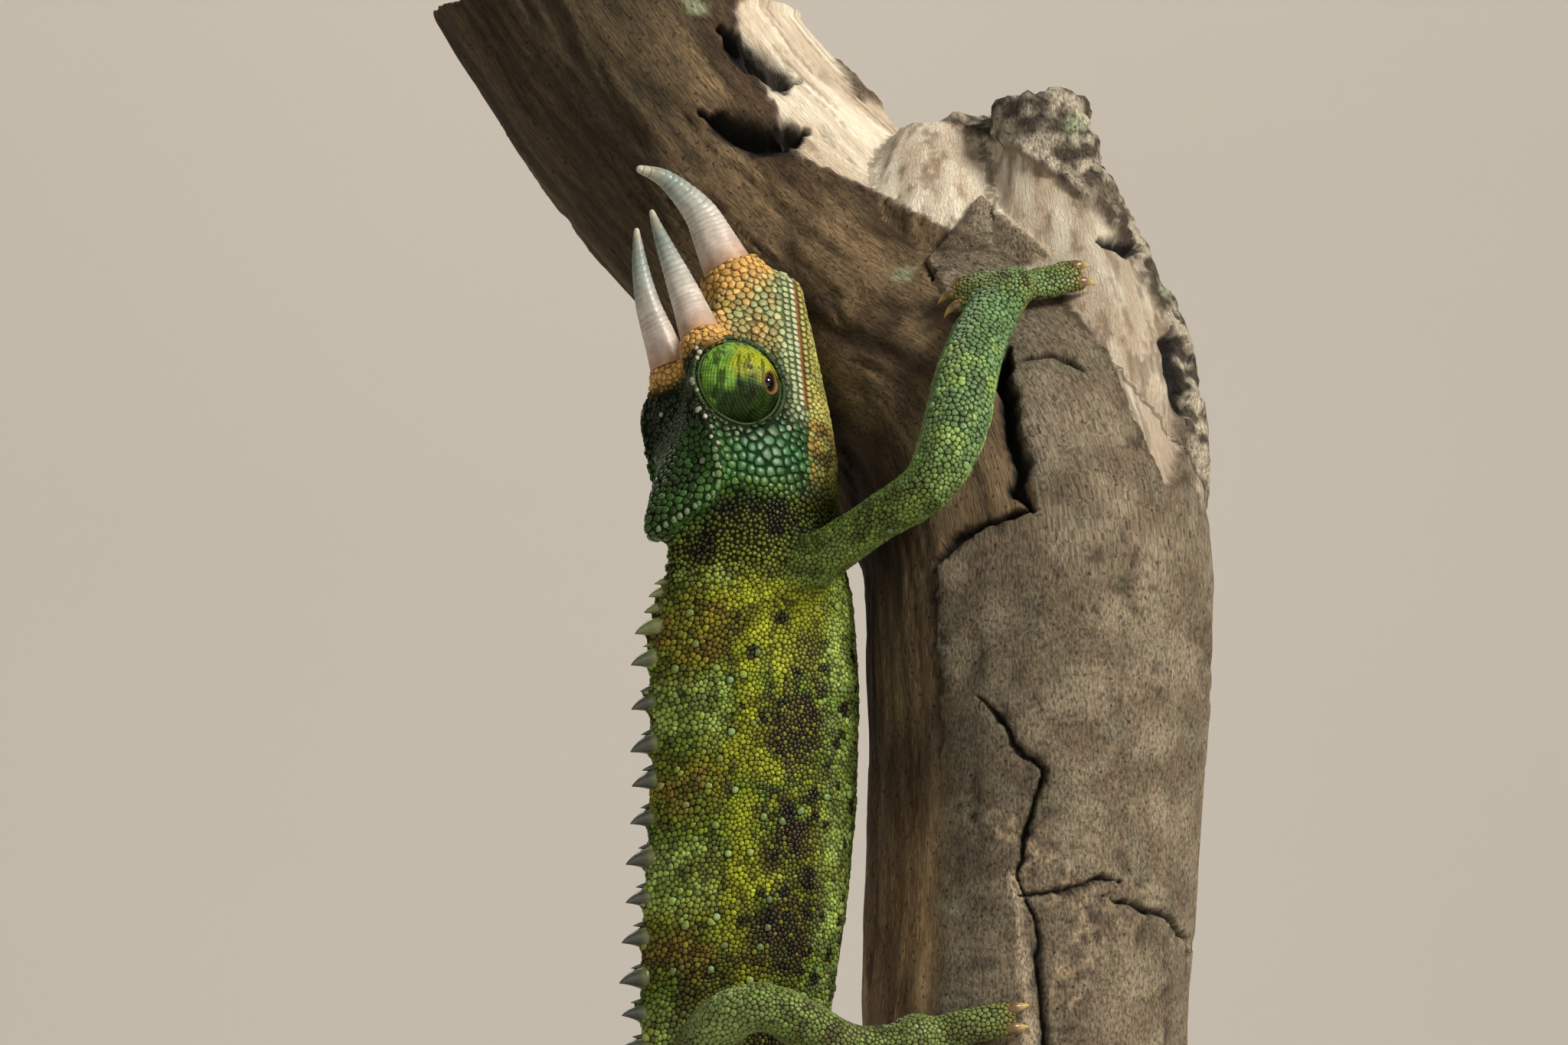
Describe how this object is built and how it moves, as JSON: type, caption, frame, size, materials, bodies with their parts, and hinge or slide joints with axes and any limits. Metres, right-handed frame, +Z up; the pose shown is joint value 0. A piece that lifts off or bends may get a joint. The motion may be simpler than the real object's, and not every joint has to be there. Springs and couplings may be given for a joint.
{
  "type": "jacksons chameleon",
  "caption": "Life-size still model of a male three-horned chameleon climbing an upright branch, tail curled, on a flat stand with a short rod.",
  "frame": {"origin": "centre of the flat stand's underside", "axes": "+Z up; +Y away from the viewer of the picture; +X to the viewer's right, from the animal towards the branch"},
  "size_m": [0.124, 0.1, 0.2145],
  "materials": {
    "skin": "beaded scales, green and yellow-green with dark blotches",
    "horn": "satin, pale pinkish horn with blue-grey towards the tips",
    "pupil": "wet gloss",
    "bark": "weathered grey-brown bark with bare pale wood",
    "base": "dark stained, satin lacquer",
    "rod": "brushed"
  },
  "bodies": {
    "root": {"head": "skin", "lower_jaw": "skin", "eye_right": "skin", "eye_left": "skin", "neck": "skin", "chest": "skin", "belly": "skin", "hips": "skin", "tail_1": "skin", "tail_2": "skin", "tail_3": "skin", "tail_4": "skin", "tail_5": "skin", "upper_arm_right": "skin", "upper_arm_left": "skin", "forearm_right": "skin", "forearm_left": "skin", "hand_right": "skin", "hand_left": "skin", "thigh_right": "skin", "thigh_left": "skin", "shin_right": "skin", "shin_left": "skin", "foot_right": "skin", "foot_left": "skin", "horn_nose": "horn", "horn_right": "horn", "horn_left": "horn", "pupil_right": "pupil", "pupil_left": "pupil", "perch_branch": "bark", "stand_rod": "rod", "stand_base": "base"}
  },
  "joints": []
}
